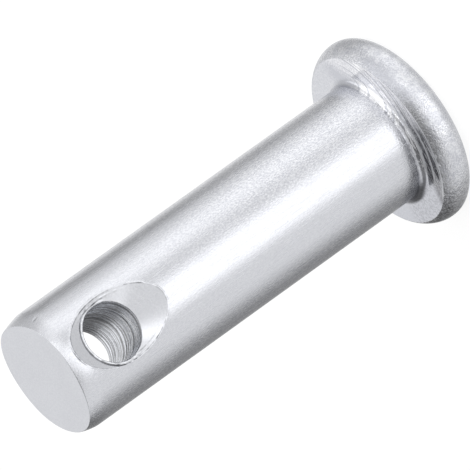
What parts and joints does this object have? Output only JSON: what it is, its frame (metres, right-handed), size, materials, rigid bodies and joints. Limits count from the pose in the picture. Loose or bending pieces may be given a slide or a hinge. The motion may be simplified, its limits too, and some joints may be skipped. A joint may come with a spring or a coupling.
{
  "type": "clevis pin",
  "caption": "Short headed pin with a flat round head and a countersunk cross hole near its tail, used to pivot a fork on a rod end.",
  "frame": {"origin": "centre of the head's flat outer face, on the pin's axis", "axes": "+Z along the pin's axis, from the head to the tail; the cross hole lies along Y"},
  "size_m": [0.0094, 0.0094, 0.0216],
  "materials": {
    "zinc_plated_steel": "bright zinc plating over turned steel, with fine turning rings and handling scratches"
  },
  "bodies": {
    "root": {"clevis_pin": "zinc_plated_steel"}
  },
  "joints": []
}
